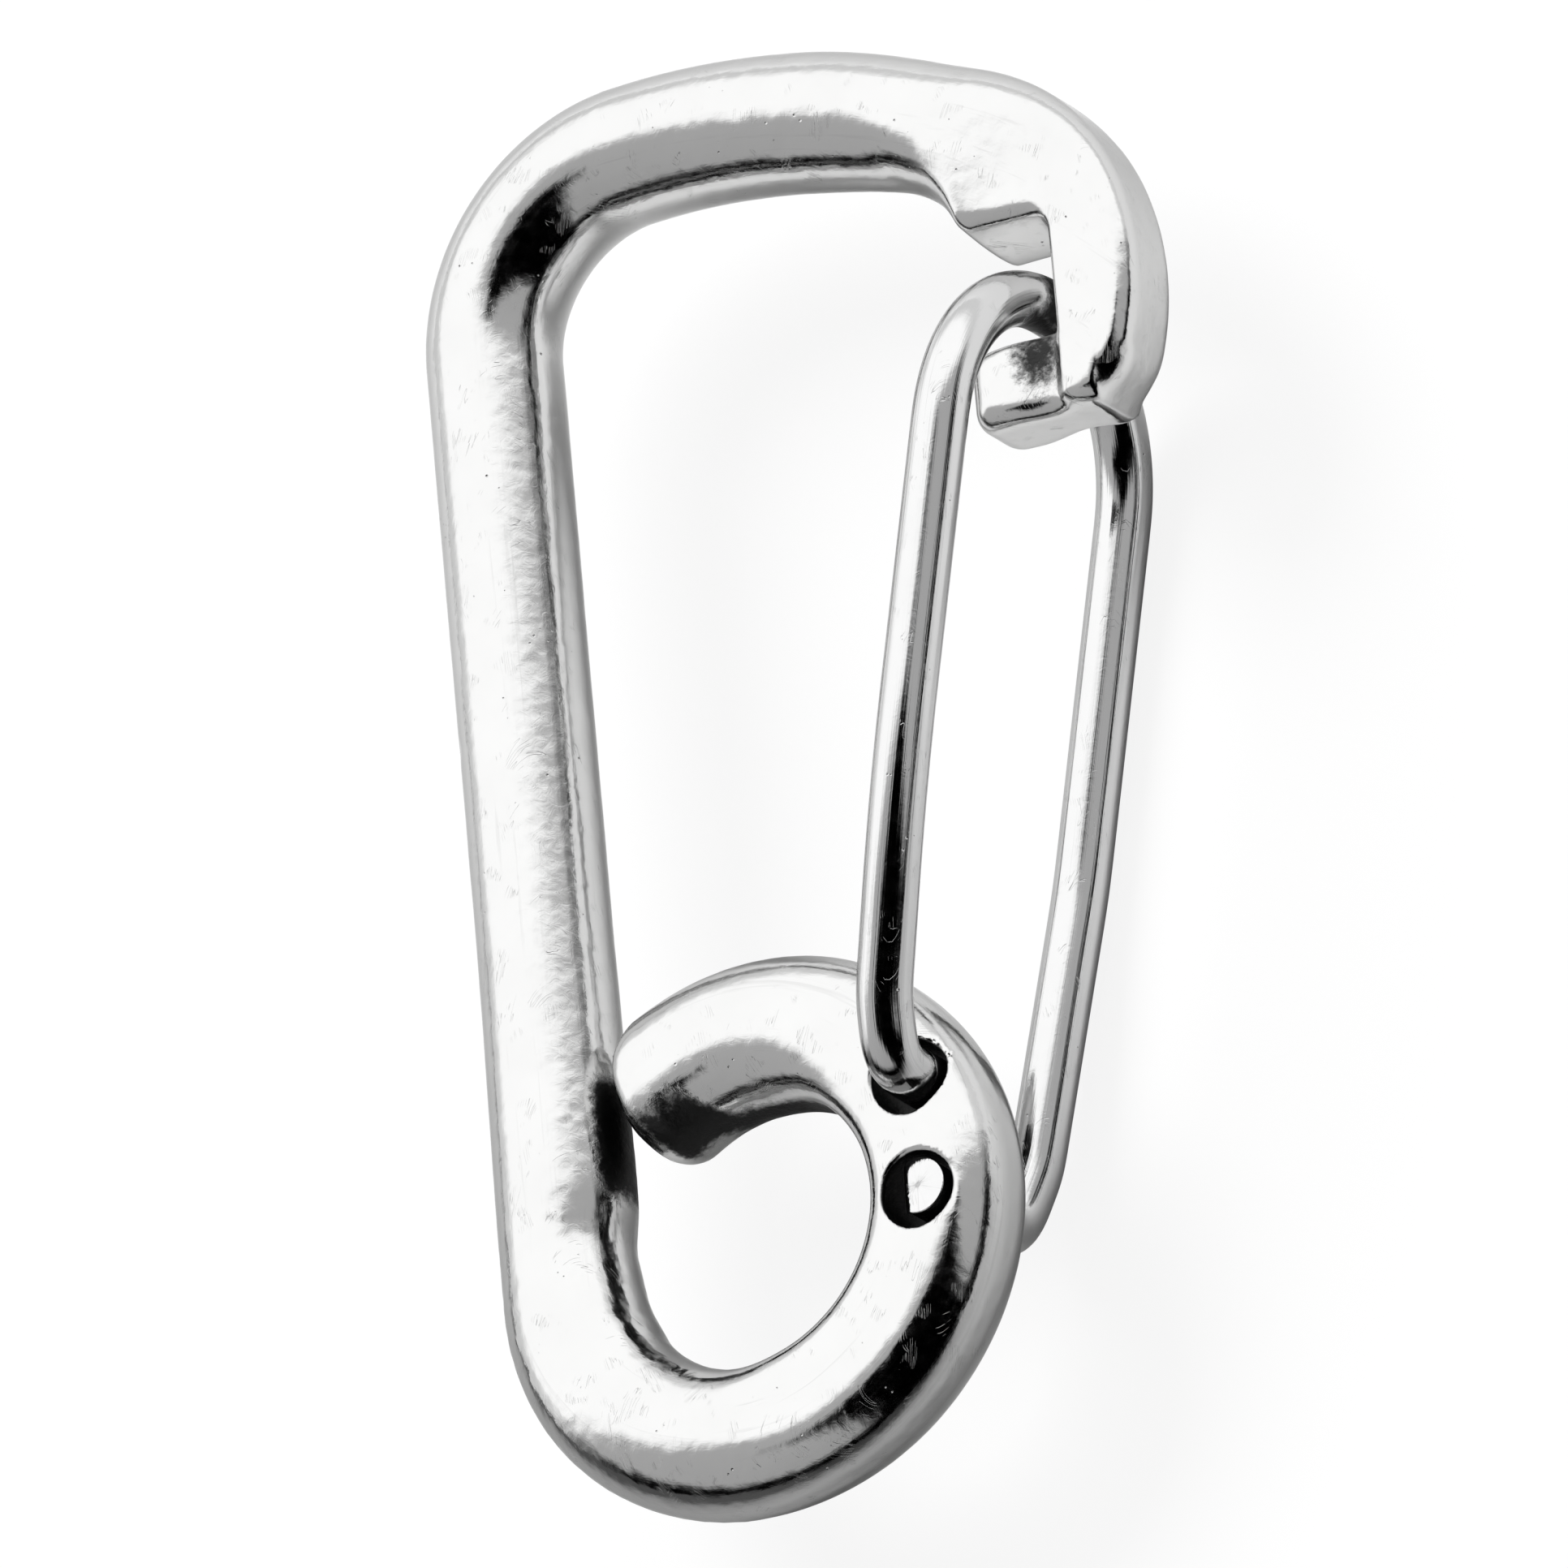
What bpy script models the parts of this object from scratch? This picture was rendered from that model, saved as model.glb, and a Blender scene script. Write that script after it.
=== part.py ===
"""Spring hook with an eye: a bent and forged round bar, closed by a gate bent from one spring wire.

Drawn in millimetres in the plane of the hook, with the eye's centre as the drawing origin, +X toward the
gate, +Y toward the crown and +Z out of the front face. The built objects are in metres, standing in the
same directions, with the middle of the underside of the whole hook at the world origin.
"""

import math

import bmesh
import bpy
from mathutils import Matrix, Vector

MM = 0.001

# ---- bar of the hook ----
# A cross-section is (outer, inner, depth, outer corner, inner corner): how far it reaches from the centre line
# away from the hook's opening and toward it, half its thickness, and the rounding of its edges on either side.
SPINE_RADIUS = 4.40
CROWN_RADIUS = 4.55  # the bar is a little fuller over the crown
NECK_RADIUS = 4.20  # and drawn down where it meets the forged nose
SPINE_X = -14.00  # centre line of the spine, left of the eye's centre
CORNER_RADIUS = 11.60  # centre line of the bend between spine and crown
CORNER_Y = 64.40  # height of that bend's centre
CROWN_ARC_RADIUS = 53.0  # gentle arch of the crown
CROWN_ARC_SWEEP = 27.5  # degrees
NECK_FROM = 14.0  # degrees along that arch where the bar starts to narrow
NOSE_ARC_RADIUS = 14.0  # centre line of the bend down into the nose
NOSE_ARC_SWEEP = 79.5  # degrees
NOSE_FORGED_AFTER = 38.0  # degrees along that bend over which the bar turns into the nose's section
NOSE_STRAIGHT = 4.5  # straight run below that bend, down to the blunt end

# ---- eye ----
EYE_RADIUS = 13.70  # centre line of the ring
CURL_END_ANGLE = 116.5  # where the curled end stops, degrees from +X
CURL_TUCK = 0.40  # how far the curl has closed in by its end
CURL_TUCK_FROM = 56.0  # degrees
FLAT_SECTION = (4.78, 4.53, 4.00, 2.85, 2.10)  # pressed flat around the gate holes
CURL_SECTION = (4.79, 5.35, 4.40, 4.40, 4.40)
FOOT_SECTION = (5.05, 4.70, 4.40, 4.40, 4.40)
CURL_EDGE = 2.95  # rounding of the blunt end of the curl
FLAT_FROM = 46.0  # degrees: the pressed flats run clockwise from here
FLAT_TO = -75.0
FLAT_BLEND = 38.0  # degrees over which the round bar turns into the flats
FOOT_TO = -178.0  # the foot's full section runs clockwise to here, then eases into the spine
FOOT_BLEND = 40.0

# ---- nose ----
NOSE_SECTION = (4.80, 5.90, 3.10, 1.40, 0.80)
NOSE_EDGE = 3.00  # rounding of the blunt end of the nose
NOTCH_WALL_X = 28.75  # the wall the closed gate rests against
NOTCH_TOP_Y = 61.20  # shoulder above the gate, at the wall
NOTCH_TOP_SLOPE = -2.0  # degrees the shoulder rises away from the wall
NOTCH_FILLET = 0.9

# ---- lip that reaches through the gate ----
LIP_TIP_X = 21.65
LIP_CENTRE_Y = 51.15
LIP_HALF_HEIGHT = 2.85
LIP_HALF_DEPTH = 3.00
LIP_CORNER = 1.50
LIP_EDGE = 1.90  # rounding of the tip
LIP_ROOT_X = 30.5  # buried in the nose
LIP_FLARE_X = 27.6  # the lip thickens from here to the notch wall
LIP_FLARE_DEPTH = 3.02

# ---- gate holes, drilled through the flats of the ring ----
HOLE_RADIUS = 2.78
UPPER_HOLE = (13.45, 6.00)
LOWER_HOLE = (13.45, -1.80)

# ---- gate wire ----
WIRE_RADIUS = 1.83
WIRE_TIP_Z = 3.10  # each end stops this far past the middle plane
END_PLAY = 0.74  # the closed gate holds its two ends to opposite sides of their holes
GATE_FOOT = (16.90, 13.14)  # a point the legs pass through, seen square to the hook
GATE_LEAN = 12.85  # degrees the closed gate leans from the spine's direction
GATE_TOP = 44.41  # from that point to the centre line of the U bend
GATE_TOP_RADIUS = 10.6
LEG_SPREAD = 11.37  # half the distance between the legs
LEG_KNEE = 9.1  # from the gate foot to where the legs start closing in
KNEE_RADIUS = 45.0
LEG_END = -5.4  # from the gate foot to where the near leg turns toward its hole
LEG_END_Z = 9.85
FAR_LEG_END = -10.0  # and the far leg toward the lower hole
FAR_LEG_END_Z = -9.75
LEG_END_RADIUS = 4.0
NEAR_ELBOW_Z = 8.80
FAR_ELBOW_Z = -8.40
ELBOW_RADIUS = 2.30

# ---- where the drawing origin stands in the world ----
EYE_IN_WORLD = (-7.85, -30.99, LEG_SPREAD + WIRE_RADIUS)

# ---- mesh fineness ----
BAR_POINTS_PER_QUARTER = 6
WIRE_POINTS_PER_QUARTER = 5
ARC_STEP = 6.5  # degrees between stations on tight bends
CROWN_STEP = 3.25  # degrees between stations on the crown's arch
SPINE_STATIONS = 7
HOLE_SIDES = 40
EDGE_STEPS = 3
FILLET_STEPS = 4


def clear_scene():
    for thing in list(bpy.data.objects):
        bpy.data.objects.remove(thing, do_unlink=True)


def steel(name, colour, roughness):
    material = bpy.data.materials.new(name)
    material.use_nodes = True
    shader = material.node_tree.nodes["Principled BSDF"]
    shader.inputs["Base Color"].default_value = (*colour, 1.0)
    shader.inputs["Metallic"].default_value = 1.0
    shader.inputs["Roughness"].default_value = roughness
    return material


def world(point):
    """A drawing point (x, y, z) in millimetres as a world point in metres."""
    return (Vector(point) + Vector(EYE_IN_WORLD)) * MM


def polar(centre, radius, degrees):
    angle = math.radians(degrees)
    return Vector((centre[0] + radius * math.cos(angle), centre[1] + radius * math.sin(angle), 0.0))


def smooth_step(value):
    value = min(max(value, 0.0), 1.0)
    return value * value * (3.0 - 2.0 * value)


def mix(first, second, share):
    return tuple(a + (b - a) * share for a, b in zip(first, second))


def section_outline(outer, inner, depth, outer_corner, inner_corner, per_quarter):
    """Rounded outline as (toward the opening, deep) pairs, with flats at exactly the stated sizes."""
    half_step = math.radians(45.0 / per_quarter)
    outline = []
    for quarter in range(4):
        sign_side = 1.0 if quarter in (0, 3) else -1.0
        sign_deep = 1.0 if quarter in (0, 1) else -1.0
        corner = inner_corner if sign_side > 0.0 else outer_corner
        reach = inner if sign_side > 0.0 else outer
        side_corner = min(corner, reach) / math.cos(half_step)
        deep_corner = min(corner, depth) / math.cos(half_step)
        centre_side = sign_side * (reach - min(corner, reach))
        centre_deep = sign_deep * (depth - min(corner, depth))
        for step in range(per_quarter):
            angle = math.radians(90.0 * quarter) + half_step * (2 * step + 1)
            outline.append((centre_side + side_corner * math.cos(angle),
                            centre_deep + deep_corner * math.sin(angle)))
    return outline


def arc_steps(start, end, step):
    count = max(1, math.ceil(abs(end - start) / step))
    return [start + (end - start) * index / count for index in range(count + 1)]


def station(point, heading, section):
    """One cross-section: where it stands, the way the bar runs there, and its five sizes."""
    along = Vector((math.cos(math.radians(heading)), math.sin(math.radians(heading)), 0.0))
    return {"point": Vector(point), "along": along, "section": section}


def rounded_end(last, edge, forward):
    """Stations that round off the end of a bar beyond its last full station."""
    stations = []
    for index in range(1, EDGE_STEPS + 1):
        angle = math.radians(90.0 * index / (EDGE_STEPS + 0.35))
        shrink = edge * (1.0 - math.cos(angle))
        reach = edge * math.sin(angle)
        section = tuple(max(size - shrink, 0.35 * size) for size in last["section"])
        stations.append({"point": last["point"] + last["along"] * reach * forward,
                         "along": last["along"], "section": section})
    return stations


def add_mesh(name, vertices, faces, material):
    mesh = bpy.data.meshes.new(name)
    mesh.from_pydata(vertices, [], faces)
    shaped = bmesh.new()
    shaped.from_mesh(mesh)
    bmesh.ops.recalc_face_normals(shaped, faces=shaped.faces)
    if shaped.calc_volume(signed=True) < 0.0:
        bmesh.ops.reverse_faces(shaped, faces=shaped.faces)
    shaped.to_mesh(mesh)
    shaped.free()
    made = bpy.data.objects.new(name, mesh)
    bpy.context.scene.collection.objects.link(made)
    if material is not None:
        made.data.materials.append(material)
    return made


def swept_bar(name, stations, per_quarter, material):
    """A closed bar through the stations. Sections stand across the way the bar runs, in the hook's plane."""
    vertices = []
    around = 4 * per_quarter
    for entry in stations:
        across = Vector((entry["along"].y, -entry["along"].x, 0.0))
        for side, deep in section_outline(*entry["section"], per_quarter):
            vertices.append(world(entry["point"] + across * side + Vector((0.0, 0.0, deep))))
    faces = []
    for row in range(len(stations) - 1):
        for index in range(around):
            following = (index + 1) % around
            faces.append((row * around + index, row * around + following,
                          (row + 1) * around + following, (row + 1) * around + index))
    faces.append(tuple(range(around)))
    faces.append(tuple(reversed(range((len(stations) - 1) * around, len(stations) * around))))
    return add_mesh(name, vertices, faces, material)


def round_section(radius):
    return (radius,) * 5


def ring_section(degrees):
    """The curled end is nearly round, the gate side is pressed flat, and the foot of the ring is round again."""
    if degrees > FLAT_TO:
        return mix(FLAT_SECTION, CURL_SECTION, smooth_step((degrees - FLAT_FROM) / FLAT_BLEND))
    if degrees > FOOT_TO + FOOT_BLEND:
        return mix(FLAT_SECTION, FOOT_SECTION, smooth_step((FLAT_TO - degrees) / FLAT_BLEND))
    share = smooth_step((FOOT_TO + FOOT_BLEND - degrees) / (2.0 * FOOT_BLEND))
    return mix(FOOT_SECTION, round_section(SPINE_RADIUS), share)


def spine_stations():
    stations = []
    run_on = ring_section(-180.0)
    for index in range(1, SPINE_STATIONS + 1):
        height = CORNER_Y * index / (SPINE_STATIONS + 1)
        section = mix(run_on, round_section(SPINE_RADIUS), smooth_step(2.0 * index / SPINE_STATIONS))
        stations.append(station((SPINE_X, height, 0.0), 90.0, section))
    return stations


def crown_section(swept):
    """The bar narrows from the crown to the neck."""
    share = smooth_step((swept - NECK_FROM) / (CROWN_ARC_SWEEP - NECK_FROM))
    return mix(round_section(CROWN_RADIUS), round_section(NECK_RADIUS), share)


def nose_section(turned):
    """The neck opens into the forged nose."""
    return mix(round_section(NECK_RADIUS), NOSE_SECTION, smooth_step(turned / NOSE_FORGED_AFTER))


def body_stations():
    stations = []
    for degrees in arc_steps(CURL_END_ANGLE, -180.0, ARC_STEP):
        drift = smooth_step((-90.0 - degrees) / 90.0) * (-SPINE_X - EYE_RADIUS)
        tuck = smooth_step((degrees - CURL_TUCK_FROM) / (CURL_END_ANGLE - CURL_TUCK_FROM)) * CURL_TUCK
        point = polar((0.0, 0.0), EYE_RADIUS + drift - tuck, degrees)
        stations.append(station(point, degrees - 90.0, ring_section(degrees)))
    stations += spine_stations()
    corner_centre = (SPINE_X + CORNER_RADIUS, CORNER_Y)
    for degrees in arc_steps(180.0, 90.0, ARC_STEP):
        section = mix(round_section(SPINE_RADIUS), round_section(CROWN_RADIUS), (180.0 - degrees) / 90.0)
        stations.append(station(polar(corner_centre, CORNER_RADIUS, degrees), degrees - 90.0, section))
    crown_centre = (corner_centre[0], CORNER_Y + CORNER_RADIUS - CROWN_ARC_RADIUS)
    crown_end = 90.0 - CROWN_ARC_SWEEP
    for degrees in arc_steps(90.0, crown_end, CROWN_STEP)[1:]:
        point = polar(crown_centre, CROWN_ARC_RADIUS, degrees)
        stations.append(station(point, degrees - 90.0, crown_section(90.0 - degrees)))
    turn = polar(crown_centre, CROWN_ARC_RADIUS - NOSE_ARC_RADIUS, crown_end)
    nose_end = crown_end - NOSE_ARC_SWEEP
    for degrees in arc_steps(crown_end, nose_end, ARC_STEP)[1:]:
        section = nose_section(crown_end - degrees)
        stations.append(station(polar(turn, NOSE_ARC_RADIUS, degrees), degrees - 90.0, section))
    last = stations[-1]
    for index in (1, 2):
        run = (NOSE_STRAIGHT - NOSE_EDGE) * index / 2
        point = last["point"] + last["along"] * run
        stations.append({"point": point, "along": last["along"], "section": NOSE_SECTION})
    start_cap = rounded_end(stations[0], CURL_EDGE, -1.0)
    end_cap = rounded_end(stations[-1], NOSE_EDGE, 1.0)
    return list(reversed(start_cap)) + stations + end_cap


def lip_stations():
    """The lip runs from its root inside the nose out to its rounded tip, toward -X."""
    slim = (LIP_HALF_HEIGHT, LIP_HALF_HEIGHT, LIP_HALF_DEPTH, LIP_CORNER, LIP_CORNER)
    root = (LIP_HALF_HEIGHT, LIP_HALF_HEIGHT, LIP_FLARE_DEPTH, LIP_CORNER, LIP_CORNER)
    stations = [station((LIP_ROOT_X, LIP_CENTRE_Y, 0.0), 180.0, root)]
    for share in (0.0, 0.35, 0.7, 1.0):
        place = NOTCH_WALL_X + (LIP_FLARE_X - NOTCH_WALL_X) * share
        section = mix(root, slim, smooth_step(math.sqrt(share)))
        stations.append(station((place, LIP_CENTRE_Y, 0.0), 180.0, section))
    stations.append(station((LIP_TIP_X + LIP_EDGE, LIP_CENTRE_Y, 0.0), 180.0, slim))
    return stations + rounded_end(stations[-1], LIP_EDGE, 1.0)


def rounded_corner(before, corner, after, radius, steps):
    """Points on the arc that rounds a corner between two straight runs."""
    toward_before = (before - corner).normalized()
    toward_after = (after - corner).normalized()
    half = toward_before.angle(toward_after) / 2.0
    setback = radius / math.tan(half)
    start = corner + toward_before * setback
    centre = corner + (toward_before + toward_after).normalized() * (radius / math.sin(half))
    axis = (start - centre).cross(corner + toward_after * setback - centre).normalized()
    sweep = math.pi - 2.0 * half
    spoke = start - centre
    return [centre + Matrix.Rotation(sweep * index / steps, 3, axis) @ spoke for index in range(steps + 1)]


def notch_outline():
    """Everything left of the notch wall, below the shoulder, seen square to the hook."""
    slope = math.radians(NOTCH_TOP_SLOPE)
    reach = 13.0
    wall_top = Vector((NOTCH_WALL_X, NOTCH_TOP_Y, 0.0))
    wall_foot = Vector((NOTCH_WALL_X, NOTCH_TOP_Y - 22.0, 0.0))
    shoulder_end = wall_top - Vector((math.cos(slope), math.sin(slope), 0.0)) * reach
    outline = [wall_foot]
    outline += rounded_corner(wall_foot, wall_top, shoulder_end, NOTCH_FILLET, FILLET_STEPS)
    outline += [shoulder_end, Vector((shoulder_end.x, wall_foot.y, 0.0))]
    return outline


def prism(name, outline, low, high):
    count = len(outline)
    vertices = [world(point + Vector((0.0, 0.0, low))) for point in outline]
    vertices += [world(point + Vector((0.0, 0.0, high))) for point in outline]
    faces = [tuple(range(count)), tuple(reversed(range(count, 2 * count)))]
    for index in range(count):
        following = (index + 1) % count
        faces.append((index, following, count + following, count + index))
    return add_mesh(name, vertices, faces, None)


def combine(target, tool, operation):
    tool.hide_render = True
    tool.display_type = "WIRE"
    step = target.modifiers.new(tool.name, "BOOLEAN")
    step.operation = operation
    step.solver = "EXACT"
    step.object = tool
    bpy.context.view_layer.update()
    graph = bpy.context.evaluated_depsgraph_get()
    result = bpy.data.meshes.new_from_object(target.evaluated_get(graph))
    target.modifiers.clear()
    target.data = result
    bpy.data.objects.remove(tool, do_unlink=True)


def hook_body():
    material = steel("polished_steel_bar", (0.78, 0.78, 0.77), 0.18)
    body = swept_bar("hook_body", body_stations(), BAR_POINTS_PER_QUARTER, material)
    depth = 8.0
    combine(body, prism("notch_cutter", notch_outline(), -depth, depth), "DIFFERENCE")
    combine(body, swept_bar("lip", lip_stations(), BAR_POINTS_PER_QUARTER, None), "UNION")
    for label, (x, y) in (("upper", UPPER_HOLE), ("lower", LOWER_HOLE)):
        circle = [polar((x, y), HOLE_RADIUS, 360.0 * index / HOLE_SIDES) for index in range(HOLE_SIDES)]
        combine(body, prism(label + "_hole_cutter", circle, -depth, depth), "DIFFERENCE")
    return body


def gate_point(along, z):
    """A point in the plane of the gate's legs."""
    lean = math.radians(GATE_LEAN)
    return Vector((GATE_FOOT[0] + along * math.sin(lean), GATE_FOOT[1] + along * math.cos(lean), z))


def wire_path():
    upper = Vector((UPPER_HOLE[0] + END_PLAY, UPPER_HOLE[1] + 0.12, 0.0))
    lower = Vector((LOWER_HOLE[0] - END_PLAY, LOWER_HOLE[1] - 0.12, 0.0))
    corners = [
        (upper + Vector((0.0, 0.0, -WIRE_TIP_Z)), 0.0, 0),
        (upper + Vector((0.0, 0.0, NEAR_ELBOW_Z)), ELBOW_RADIUS, 7),
        (gate_point(LEG_END, LEG_END_Z), LEG_END_RADIUS, 2),
        (gate_point(LEG_KNEE, LEG_SPREAD), KNEE_RADIUS, 3),
        (gate_point(GATE_TOP, LEG_SPREAD), GATE_TOP_RADIUS, 12),
        (gate_point(GATE_TOP, -LEG_SPREAD), GATE_TOP_RADIUS, 12),
        (gate_point(LEG_KNEE, -LEG_SPREAD), KNEE_RADIUS, 3),
        (gate_point(FAR_LEG_END, FAR_LEG_END_Z), LEG_END_RADIUS, 2),
        (lower + Vector((0.0, 0.0, FAR_ELBOW_Z)), ELBOW_RADIUS, 7),
        (lower + Vector((0.0, 0.0, WIRE_TIP_Z)), 0.0, 0),
    ]
    path = [corners[0][0]]
    for index in range(1, len(corners) - 1):
        corner, radius, steps = corners[index]
        path += rounded_corner(corners[index - 1][0], corner, corners[index + 1][0], radius, steps)
    path.append(corners[-1][0])
    return path


def wire_gate(hinge):
    """Round wire along the path, carried round the bends without twist; its origin is on the hinge axis."""
    path = wire_path()
    around = 4 * WIRE_POINTS_PER_QUARTER
    side = Vector((1.0, 0.0, 0.0))
    vertices = []
    for index, point in enumerate(path):
        before = path[max(index - 1, 0)]
        after = path[min(index + 1, len(path) - 1)]
        along = (after - before).normalized()
        side = (side - along * side.dot(along)).normalized()
        up = along.cross(side)
        for step in range(around):
            angle = 2.0 * math.pi * (step + 0.5) / around
            spoke = side * math.cos(angle) + up * math.sin(angle)
            vertices.append(world(point + spoke * WIRE_RADIUS) - hinge)
    faces = []
    for row in range(len(path) - 1):
        for index in range(around):
            following = (index + 1) % around
            faces.append((row * around + index, row * around + following,
                          (row + 1) * around + following, (row + 1) * around + index))
    faces.append(tuple(range(around)))
    faces.append(tuple(reversed(range((len(path) - 1) * around, len(path) * around))))
    gate = add_mesh("wire_gate", vertices, faces, steel("spring_wire", (0.72, 0.72, 0.72), 0.22))
    gate.location = hinge
    return gate


def shade(thing):
    for polygon in thing.data.polygons:
        polygon.use_smooth = True
    thing.data.set_sharp_from_angle(angle=math.radians(35.0))


def main():
    clear_scene()
    middle = [(a + b) / 2.0 for a, b in zip(UPPER_HOLE, LOWER_HOLE)]
    hinge = world((middle[0], middle[1], 0.0))
    for thing in (hook_body(), wire_gate(hinge)):
        shade(thing)


main()
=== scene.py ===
"""The looks of the spring hook: its forged body and wire gate as fine meshes, their steel, and the studio.

Shapes are worked out in millimetres in the plane of the hook, with the eye's centre as the drawing origin,
+X toward the gate, +Y toward the crown and +Z out of the front face. EYE is that origin's place in the world.
"""

import math

import bpy
import numpy as np
from mathutils import Matrix, Vector, noise


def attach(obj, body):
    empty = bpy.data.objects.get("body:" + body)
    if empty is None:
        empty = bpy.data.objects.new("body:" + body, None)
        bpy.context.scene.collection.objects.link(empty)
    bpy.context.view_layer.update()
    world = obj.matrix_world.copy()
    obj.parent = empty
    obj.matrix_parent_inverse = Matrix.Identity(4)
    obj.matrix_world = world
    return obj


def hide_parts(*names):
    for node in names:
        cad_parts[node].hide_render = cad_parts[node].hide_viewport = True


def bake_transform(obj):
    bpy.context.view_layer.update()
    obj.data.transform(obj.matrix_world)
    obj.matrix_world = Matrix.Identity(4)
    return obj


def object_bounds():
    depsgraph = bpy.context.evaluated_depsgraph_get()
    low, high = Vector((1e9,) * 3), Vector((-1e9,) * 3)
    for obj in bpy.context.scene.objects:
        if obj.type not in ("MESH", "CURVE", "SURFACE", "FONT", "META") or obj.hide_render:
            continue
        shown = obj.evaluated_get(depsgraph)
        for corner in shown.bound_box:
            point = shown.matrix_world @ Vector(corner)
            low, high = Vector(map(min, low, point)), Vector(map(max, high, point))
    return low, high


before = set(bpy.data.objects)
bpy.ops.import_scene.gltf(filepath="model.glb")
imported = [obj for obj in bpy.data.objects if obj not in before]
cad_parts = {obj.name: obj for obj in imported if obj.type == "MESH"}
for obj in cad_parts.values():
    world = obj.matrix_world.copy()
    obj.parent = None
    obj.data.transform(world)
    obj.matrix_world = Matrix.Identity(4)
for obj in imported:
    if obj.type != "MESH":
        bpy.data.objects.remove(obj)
cad_low, cad_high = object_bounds()

MM = 0.001
PER_M = 1000.0
EYE = np.array([-7.85, -30.99, 13.20])

# ---- the bar's centre line ----
SPINE_X, EYE_RADIUS = -14.0, 13.70
CORNER_RADIUS, CORNER_Y = 11.60, 64.40
ARCH_RADIUS, CROWN_SWEEP = 53.0, 27.5
NOSE_RADIUS, NOSE_SWEEP, NOSE_STRAIGHT = 14.0, 79.5, 4.5
CORNER_CENTRE = np.array([SPINE_X + CORNER_RADIUS, CORNER_Y])
CROWN_CENTRE = CORNER_CENTRE + [0.0, CORNER_RADIUS - ARCH_RADIUS]
CROWN_END = 90.0 - CROWN_SWEEP
NOSE_END = CROWN_END - NOSE_SWEEP
NOSE_CENTRE = CROWN_CENTRE + (ARCH_RADIUS - NOSE_RADIUS) * np.array(
    [math.cos(math.radians(CROWN_END)), math.sin(math.radians(CROWN_END))])

# ---- sections: outer reach, inner reach, half depth, outer corner, inner corner, in mm ----
SPINE = (4.40, 4.40, 4.40, 4.40, 4.40)
CROWN = (4.55, 4.55, 4.55, 4.55, 4.55)
FLAT = (4.78, 4.53, 4.00, 3.60, 2.50)
CURL = (4.79, 5.35, 4.40, 4.40, 4.40)
FOOT = (5.05, 4.70, 4.40, 4.40, 4.40)

# ---- ring: degrees about the eye, anticlockwise from +X ----
FLAT_TOP, FLAT_BOTTOM, FLAT_FADE = 46.0, -75.0, 38.0
FOOT_FROM, FOOT_FADE = -138.0, 80.0
CURL_END = 116.5
CURL_TUCK, CURL_TUCK_FROM = 0.40, 56.0  # mm drawn inward at the end, and from what angle
CURL_CUT, CURL_CUT_EDGE = 2.85, 2.5  # the blunt end, in mm past CURL_END
CURL_TRIM, CURL_TRIM_NORMAL, CURL_TRIM_EDGE = (-8.65, 13.0), (-0.995, 0.0995), 1.8

# ---- crown, neck and nose: half width of the round bar, then of the forged nose ----
CROWN_BAR, NECK_BAR = 4.55, 4.20
NECK_FROM = 76.0  # degrees on the arch, where the bar starts to slim
NOSE_OUTER, NOSE_HALF_DEPTH = 4.80, 3.10
NOSE_OUTER_EDGE, NOSE_INNER_EDGE = 1.4, 0.6
FORGED_FROM, FORGED_TO = -3.5, 10.5  # mm along the bar from the crown's end
INNER_EDGE_LEAD, INNER_EDGE_FADE = 8.0, 42.0  # degrees before the crown's end, and on round the nose
TIP_EDGE, TIP_EDGE_GAIN = 0.4, 3.1  # rounding of the nose's end, and what its lower side has more
TIP_EDGE_FROM, TIP_EDGE_FADE = 1.2, 3.2
BEVELS = (  # on the nose's lower corners, front and back: normal, offset, edge radius
    ((0.30, -0.52, 0.80), 13.442, 0.5),
    ((0.55, -0.58, 0.60), 9.72, 0.7),
)

# ---- notch, lip and holes ----
WALL_X, SHOULDER_Y, SHOULDER_SLOPE = 28.66, 62.25, -2.0
SHOULDER_BULGE, SHOULDER_TILT = 0.55, 0.95
NOTCH_CORNER, NOTCH_EDGE = 1.5, 0.9
FLANK, FLANK_NORMAL = (21.10, 66.60), (-0.917, -0.397)  # a point on the nose's left side
SHOULDER_REACH, SHOULDER_THICK, NECK_FILLET = 13.0, 3.0, 3.6
LIP_TIP_X, LIP_Y, LIP_HALF_HEIGHT, LIP_CORNER = 21.65, 51.15, 2.85, 1.6
LIP_HALF_DEPTH, SADDLE_DEPTH, SADDLE_X, SADDLE_LENGTH = 3.05, 0.65, 27.6, 2.2
LIP_EDGE, LIP_TIP_GAIN, LIP_TIP_LENGTH = 1.25, 0.75, 2.4
LIP_ROOT_X, LIP_FILLET = 31.0, 0.7
HOLE_RADIUS, HOLE_EDGE, UPPER_HOLE, LOWER_HOLE = 2.55, 0.22, (13.45, 6.00), (13.45, -1.80)

# ---- where one stretch of the bar hands over to the next ----
OUTSIDE, INSIDE = 9.0, -20.0  # distances that leave the other shape in force
SPINE_OVERLAP, ARC_OVERLAP = 0.6, 0.8  # mm, degrees
CURL_OVERLAP, RING_LAST = 25.0, -182.0  # degrees
HOOK_END_FLOOR, TIP_LENGTH = 44.0, 8.0

# ---- mesh fineness ----
CELL, QUICK_COARSENESS, SLAB = 0.28, 1.6, 24
BODY_LOW, BODY_HIGH = (-20.0, -20.0, -5.4), (35.6, 82.0, 5.4)
GRADIENT_STEP, SETTLE_ROUNDS, SETTLE_LIMIT = 0.02, 3, 0.4
WIRE_AROUND, WIRE_STEP, BEND_STEPS, CAP_STEPS = 36, 0.33, 28, 5

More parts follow.
